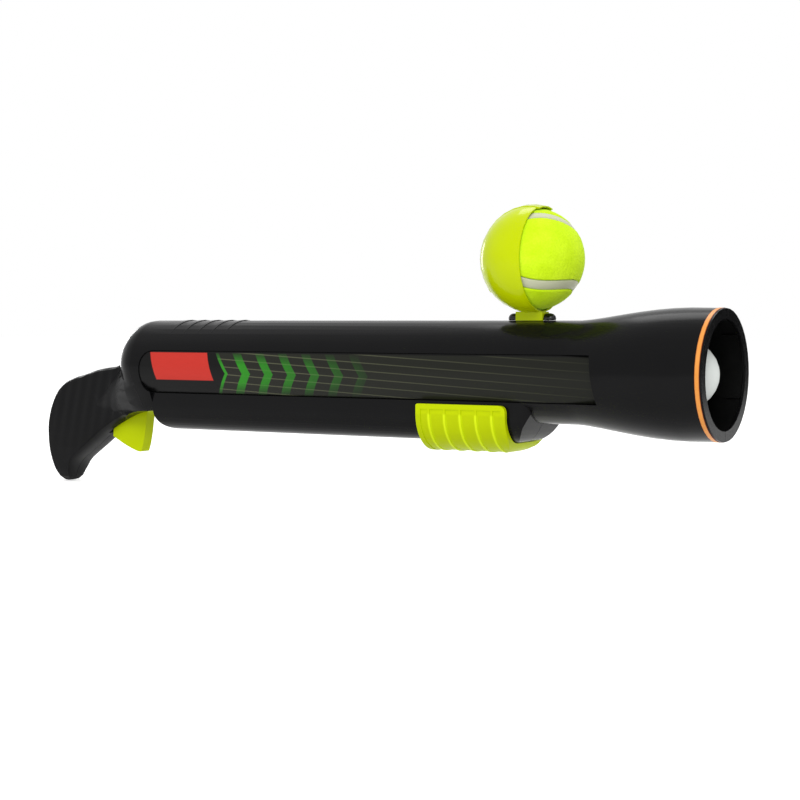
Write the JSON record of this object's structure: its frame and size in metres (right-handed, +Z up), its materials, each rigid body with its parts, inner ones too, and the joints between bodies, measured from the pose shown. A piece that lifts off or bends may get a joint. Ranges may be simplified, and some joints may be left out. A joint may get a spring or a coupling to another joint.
{
  "type": "dog ball thrower",
  "caption": "Hand-held dog ball thrower: flared barrel, sliding loading handle, trigger and rear grip, with a spare ball in a snap-in cup on top.",
  "frame": {"origin": "centre of the whole object's bounding box", "axes": "+X along the barrel towards the muzzle, +Z up towards the spare ball, and the pictured side faces -Y"},
  "size_m": [0.5316, 0.0814, 0.194],
  "materials": {
    "body_plastic": "satin moulded ABS, charcoal",
    "inner_plastic": "matt moulded nylon, black",
    "lime_plastic": "satin moulded ABS, lime",
    "accent_plastic": "satin soft PVC, orange",
    "nose_foam": "matt moulded foam rubber, off-white",
    "label_film": "printed satin vinyl film",
    "ball_felt": "woven wool and nylon felt over a rubber core",
    "steel": "zinc plated steel",
    "bumper_rubber": "matt moulded rubber",
    "latex": "natural latex tube"
  },
  "bodies": {
    "body": {"shell_right": "body_plastic", "shell_left": "body_plastic", "accent_ring": "accent_plastic", "muzzle_liner": "inner_plastic", "side_label_right": "label_film", "side_label_left": "label_film", "ball_cup": "lime_plastic", "holder_saddle": "inner_plastic", "holder_pin": "steel", "drive_band_right": "latex", "drive_band_left": "latex", "band_collar": "inner_plastic", "bumper_right": "bumper_rubber", "bumper_left": "bumper_rubber", "trigger_pin": "steel", "sear_pin": "steel", "sear_spring": "steel", "shell_screw_1": "steel", "shell_screw_2": "steel", "shell_screw_3": "steel", "shell_screw_4": "steel", "shell_screw_5": "steel", "shell_screw_6": "steel", "shell_screw_7": "steel"},
    "handle": {"loading_handle": "lime_plastic", "handle_carriage": "inner_plastic", "handle_screw_1": "steel", "handle_screw_2": "steel"},
    "plunger": {"plunger_tail": "inner_plastic", "plunger_rod": "lime_plastic", "plunger_head": "lime_plastic", "plunger_nose": "nose_foam"},
    "trigger": {"trigger": "lime_plastic"},
    "sear": {"sear": "steel"},
    "ball": {"ball": "ball_felt"}
  },
  "joints": [
    {"name": "handle_slide", "type": "slide", "parent": "body", "child": "handle", "axis": [1, 0, 0], "range_m": [-0.212, 0]},
    {"name": "plunger_slide", "type": "slide", "parent": "body", "child": "plunger", "axis": [1, 0, 0], "range_m": [-0.212, 0], "stiffness_N_per_m": 300, "springref_m": 0.03, "deforming": ["drive_band_right", "drive_band_left"]},
    {"name": "trigger_pull", "type": "hinge", "parent": "body", "child": "trigger", "pos_m": [-0.17067, 0, -0.03816], "axis": [0, 1, 0], "range_deg": [0, 8], "stiffness_Nm_per_rad": 0.25, "springref_deg": -3.44},
    {"name": "sear_tilt", "type": "hinge", "parent": "body", "child": "sear", "pos_m": [-0.18067, 0, -0.02716], "axis": [0, 1, 0], "range_deg": [0, 13.2], "deforming": ["sear_spring"]},
    {"name": "ball_lift", "type": "slide", "parent": "body", "child": "ball", "axis": [1, 0, 0], "range_m": [0, 0.05]}
  ],
  "couplings": [
    {"joint": "plunger_slide", "follows": "handle_slide", "ratio": 1},
    {"joint": "sear_tilt", "follows": "trigger_pull", "ratio": 1.65}
  ]
}
